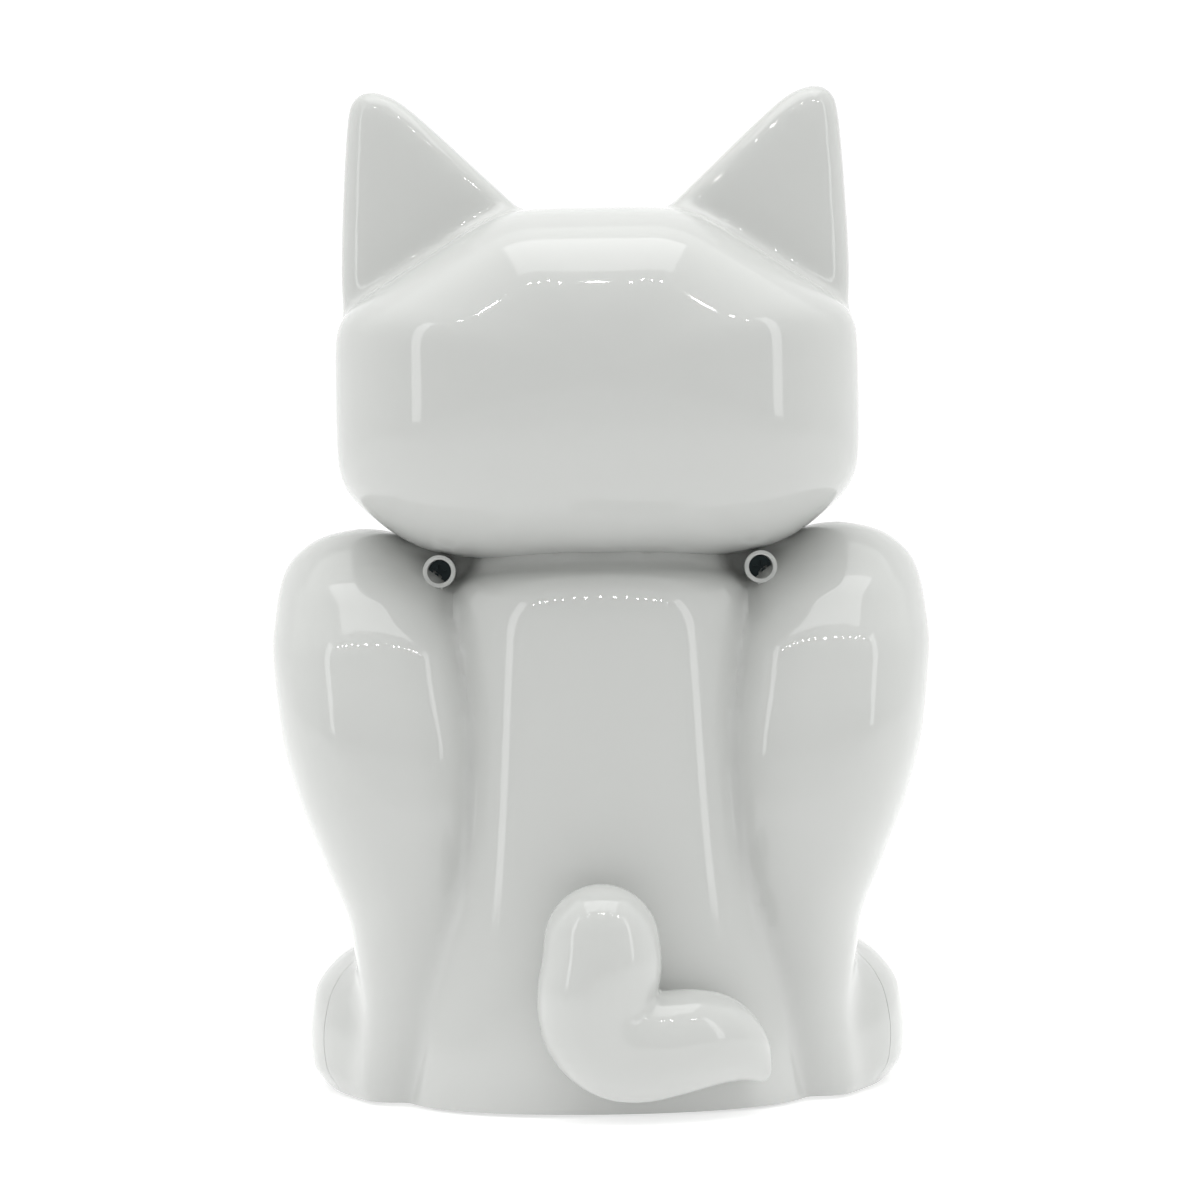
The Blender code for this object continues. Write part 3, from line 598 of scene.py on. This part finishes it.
def shoulder_filler(half):
    """Webs that close the corner by the haunch and the joint under the head."""
    off = np.abs(half - (23.0, -1.0, 74.0)) - (4.3, 6.0, 7.6)
    collar = np.hypot(half[:, 0] / 20.0, (half[:, 1] - 1) / 16.0) * 17 - 17
    collar = np.maximum(collar, np.abs(half[:, 2] - 76.5) - 5)
    return np.maximum(np.minimum(off.max(1), collar), -0.7 - dome(half))


def head(points):
    """The head with both ears."""
    half = folded(points)
    return union(dome(half), ears(half), 1.6)


def arm(points):
    """The raised arm and the round root that it turns on."""
    drum = np.maximum(np.hypot(points[:, 1] - AXLE[1], points[:, 2] - AXLE[2]) - DRUM_R,
                      np.abs(points[:, 0] - ARM_X) - DRUM_HALF_X + 0.1)
    return union(drum, raised_arm(points), 1.0)


def halves(points, quads, split_y, front_name, rear_name, rim=None):
    """Front and rear shells of a closed skin, parted at a plane."""
    pieces = []
    for name, side in ((front_name, 1), (rear_name, -1)):
        obj = mesh_object(name, points, quads)
        cut_away(obj, (0, split_y - side * SEAM, 0), (0, side, 0))
        if rim is not None:
            cut_away(obj, (0, 0, rim), (0, 0, -1))
        thicken(obj, WALL)
        pieces.append(obj)
    return pieces


def make_body():
    """Both body shells; the front one has the slot of the raised arm."""
    points, quads = skin(body, (-51, -46, -4), (51, 33, 87), CELL)
    front, rear = halves(points, quads, BODY_SPLIT_Y, "body_front", "body_rear", RIM_Z)
    combine(front, bar("slot", DRUM_R + SLOT_CLEARANCE, (ARM_X - SLOT_HALF_X, AXLE[1], AXLE[2]),
                       (ARM_X + SLOT_HALF_X, AXLE[1], AXLE[2]), 96), "DIFFERENCE")
    combine(front, block("slot", (ARM_X - SLOT_HALF_X, -40, AXLE[2] - SLOT_HALF_Z),
                         (ARM_X + SLOT_HALF_X, AXLE[1], AXLE[2] + SLOT_HALF_Z)), "DIFFERENCE")
    place(front, WHITE, "figure", ["body_front_shell"])
    place(rear, WHITE, "figure", ["body_rear_shell"])


def make_head():
    points, quads = skin(head, (-41, -25, 76), (41, 36, 152), CELL)
    front, rear = halves(points, quads, HEAD_SPLIT_Y, "head_front", "head_rear")
    place(front, WHITE, "figure", ["head_front_shell"])
    place(rear, WHITE, "figure", ["head_rear_shell"])


def make_bosses():
    """Screw bosses of the rear shell, each with a rib down to the corner below."""
    for side, word in ((1, "left"), (-1, "right")):
        x = side * SHOULDER_X
        boss = bar("boss_" + word, BOSS_R, (x, -0.9, SHOULDER_Z),
                   (x, SHOULDER_BACK_Y, SHOULDER_Z))
        rib = block("rib", (x - 0.45, 0, 71.5), (x + 0.45, 11.3, SHOULDER_Z - 1.9))
        combine(boss, rib, "UNION")
        combine(boss, bar("well", WELL_R, (x, 2, SHOULDER_Z), (x, 14, SHOULDER_Z)), "DIFFERENCE")
        soften(boss, 0.12)
        place(boss, WHITE, "figure")


# ---- the printed face -----------------------------------------------------------------
def on_front(field, flat):
    """Points (x, z) carried back along Y until they lie on the field's front."""
    flat = np.asarray(flat, float)
    near = np.full(len(flat), -30.0)
    far = np.full(len(flat), 2.0)
    for _ in range(24):
        middle = (near + far) / 2
        outside = field(np.stack((flat[:, 0], middle, flat[:, 1]), 1)) > 0
        near = np.where(outside, middle, near)
        far = np.where(outside, far, middle)
    return np.stack((flat[:, 0], far - PRINT_THICK, flat[:, 1]), 1)


def print_patch(name, field, rows, material):
    """A thin film over the front; rows are equally long rows of (x, z)."""
    rows = np.asarray(rows, float)
    across = rows.shape[1]
    points = on_front(field, rows.reshape(-1, 2))
    quads = [(r * across + c, r * across + c + 1, (r + 1) * across + c + 1, (r + 1) * across + c)
             for r in range(len(rows) - 1) for c in range(across - 1)]
    obj = mesh_object(name, points, quads)
    bm = bmesh.new()
    bm.from_mesh(obj.data)
    bmesh.ops.remove_doubles(bm, verts=bm.verts, dist=1e-4)
    bmesh.ops.recalc_face_normals(bm, faces=bm.faces)
    if sum(face.normal.y * face.calc_area() for face in bm.faces) > 0:
        bmesh.ops.reverse_faces(bm, faces=bm.faces)
    bm.to_mesh(obj.data)
    bm.free()
    thicken(obj, PRINT_THICK * 2)
    return place(obj, material, "figure")


def disc(centre, half_x, half_z, power=2.0, tilt=0.0, rings=10, sides=48):
    """Rows of a filled superellipse, from its middle outwards."""
    rows = []
    for ring in range(rings + 1):
        share = max(ring / rings, 0.001)
        row = []
        for step in range(sides + 1):
            angle = 2 * math.pi * step / sides
            x = half_x * share * math.copysign(abs(math.cos(angle)) ** (2 / power),
                                               math.cos(angle))
            z = half_z * share * math.copysign(abs(math.sin(angle)) ** (2 / power),
                                               math.sin(angle))
            row.append((centre[0] + x * math.cos(tilt) - z * math.sin(tilt),
                        centre[1] + x * math.sin(tilt) + z * math.cos(tilt)))
        rows.append(row)
    return rows


def stroke(points, width, steps=10):
    """Rows across a brush stroke whose ends taper."""
    route = smooth_route(points, steps)
    along = np.gradient(route, axis=0)
    side = np.stack((-along[:, 1], along[:, 0]), 1) / np.linalg.norm(along, axis=1)[:, None]
    share = np.linspace(0, 1, len(route))
    half = width / 2 * np.sqrt(np.clip(4 * share * (1 - share), 0.02, 1))
    return [[tuple(p + s * h * t) for t in (-1, -0.5, 0, 0.5, 1)]
            for p, s, h in zip(route, side, half)]


def make_face():
    """Eyes, mouth, whiskers, nose and the insides of the ears, as thin films."""
    for side, word in ((1, "left"), (-1, "right")):
        print_patch("eye_" + word, head, disc((side * 14.5, 109.5), 3.1, 4.0), BLACK_PRINT)
        print_patch("mouth_" + word, head,
                    stroke(((0, 100.6), (side * 1.6, 98.2), (side * 4.4, 98.0),
                            (side * 6.2, 100.2)), 0.8), BLACK_PRINT)
        for number, (low, high) in enumerate(((101.5, 99.4), (104.2, 104.2), (106.9, 109.0))):
            print_patch("whisker_%s_%d" % (word, number), head,
                        stroke(((side * 20.5, low), (side * 25.5, (low + high) / 2 + 0.3),
                                (side * 30.5, high)), 0.7), BLACK_PRINT)
        print_patch("inner_ear_" + word, head,
                    disc((side * 30.2, 136.4), 4.4, 6.6, 2.0, side * -0.32), PINK_PRINT)
    print_patch("nose", head, disc((0, 102.6), 2.5, 1.7, 2.6), PINK_PRINT)


def make_tail():
    """The tail, trimmed where it meets the body."""
    def form(points):
        return carve(tail(points), column(points) - 0.05, 0.3)
    points, quads = skin(form, (-26, 20, 0), (12, 46, 36), FINE_CELL)
    place(mesh_object("tail_fine", points, quads), WHITE, "figure", ["tail"])


def make_arm():
    """Two half shells of the raised arm."""
    points, quads = skin(arm, (4, -46, 47), (19, 2, 101), FINE_CELL)
    for name, side in (("arm_inner", 1), ("arm_outer", -1)):
        obj = mesh_object(name, points, quads)
        cut_away(obj, (ARM_X - side * SEAM, 0, 0), (side, 0, 0))
        thicken(obj, ARM_WALL)
        place(obj, WHITE, "arm", ["waving_" + name])


# ---- camera, light and stage ------------------------------------------------------------
def aim(obj, position, target, roll=0.0):
    """Put a camera or lamp in place, looking at the target."""
    position, target = Vector(position), Vector(target)
    turn = (target - position).to_track_quat("-Z", "Y")
    obj.matrix_world = (Matrix.Translation(position) @ turn.to_matrix().to_4x4()
                        @ Matrix.Rotation(roll, 4, "Z"))


def set_camera():
    data = bpy.data.cameras.new("camera")
    data.lens = CAMERA_LENS
    data.sensor_width = 36
    camera = linked("camera", data)
    aim(camera, (0, CAMERA_DISTANCE, CAMERA_Z), (0, 0, CAMERA_Z), CAMERA_ROLL)
    bpy.context.scene.camera = camera


def area_light(name, position, size, power):
    data = bpy.data.lights.new(name, "AREA")
    data.shape = "RECTANGLE"
    data.size, data.size_y = size
    data.energy = power
    aim(linked(name, data), position, LIGHT_TARGET)


def map_range(nodes, reach, values, smooth=False):
    """A node that maps the reach (from, to) onto the values (from, to)."""
    node = nodes.new("ShaderNodeMapRange")
    node.interpolation_type = "SMOOTHSTEP" if smooth else "LINEAR"
    node.inputs["From Min"].default_value, node.inputs["From Max"].default_value = reach
    node.inputs["To Min"].default_value, node.inputs["To Max"].default_value = values
    return node


def set_world():
    """White surroundings, brightest behind the figure and overhead."""
    world = bpy.data.worlds.new("studio")
    world.use_nodes = True
    nodes, links = world.node_tree.nodes, world.node_tree.links
    direction = nodes.new("ShaderNodeTexCoord")
    split = nodes.new("ShaderNodeSeparateXYZ")
    links.new(direction.outputs["Generated"], split.inputs["Vector"])
    level = map_range(nodes, (-0.5, 1.0), (1.0, 0.34), smooth=True)
    links.new(split.outputs["Y"], level.inputs["Value"])
    overhead = map_range(nodes, (0.0, 1.0), (1.0, 1.7))
    links.new(split.outputs["Z"], overhead.inputs["Value"])
    strength = nodes.new("ShaderNodeMath")
    strength.operation = "MULTIPLY"
    links.new(level.outputs["Result"], strength.inputs[0])
    links.new(overhead.outputs["Result"], strength.inputs[1])
    background = nodes["Background"]
    background.inputs["Color"].default_value = (0.99, 1.0, 0.985, 1)
    links.new(strength.outputs["Value"], background.inputs["Strength"])
    bpy.context.scene.world = world


def set_lights():
    """A softbox overhead, a strip on each side and a row of small lamps."""
    area_light("top_softbox", (0.0, 0.1, 1.0), (0.9, 0.6), 3)
    area_light("left_strip", (0.9, 0.5, 0.5), (0.12, 0.9), 0.8)
    area_light("right_strip", (-0.9, 0.5, 0.5), (0.12, 0.9), 0.8)
    for number in range(LAMPS):
        data = bpy.data.lights.new("strip_lamp", "POINT")
        data.energy = 0.08
        data.shadow_soft_size = 0.0042
        lamp = linked("strip_lamp", data)
        lamp.location = ((number - LAMPS // 2) * LAMP_SPACING, 0.25, 0.435 + 0.012 * (number % 2))


def floor_finish():
    """Pale ground with a glow that fades out towards the camera's side."""
    material = surface("floor", (0.6, 0.6, 0.6), 0.8, spread=0.004)
    nodes, links = material.node_tree.nodes, material.node_tree.links
    shader = nodes["Principled BSDF"]
    shader.inputs["Emission Color"].default_value = (1, 1, 1, 1)
    position = nodes.new("ShaderNodeNewGeometry")
    split = nodes.new("ShaderNodeSeparateXYZ")
    links.new(position.outputs["Position"], split.inputs["Vector"])
    glow = map_range(nodes, (0.12, 0.4), (0.56, 0.0), smooth=True)
    links.new(split.outputs["Y"], glow.inputs["Value"])
    links.new(glow.outputs["Result"], shader.inputs["Emission Strength"])
    return material


def make_floor():
    """A sweep: flat ground, then a curve up to the backdrop."""
    points = []
    for x in (-3.0, 3.0):
        points += [(x, 3.0, FLOOR_Z), (x, SWEEP_Y, FLOOR_Z)]
        points += [(x, SWEEP_Y - SWEEP_R * math.sin(a), SWEEP_R - SWEEP_R * math.cos(a) + FLOOR_Z)
                   for a in np.linspace(0.1, math.pi / 2, 12)]
        points += [(x, SWEEP_Y - SWEEP_R, 3.0)]
    rows = len(points) // 2
    sweep = mesh_object("floor", points, [(i, i + rows, i + rows + 1, i + 1)
                                          for i in range(rows - 1)])
    sweep.data.shade_smooth()
    sweep.data.materials.append(floor_finish())


def set_stage():
    bpy.context.scene.view_settings.view_transform = "Standard"
    set_world()
    set_lights()
    make_floor()


set_camera()
set_stage()
finish_cad_nodes()
make_body()
make_head()
make_face()
make_bosses()
make_tail()
make_arm()
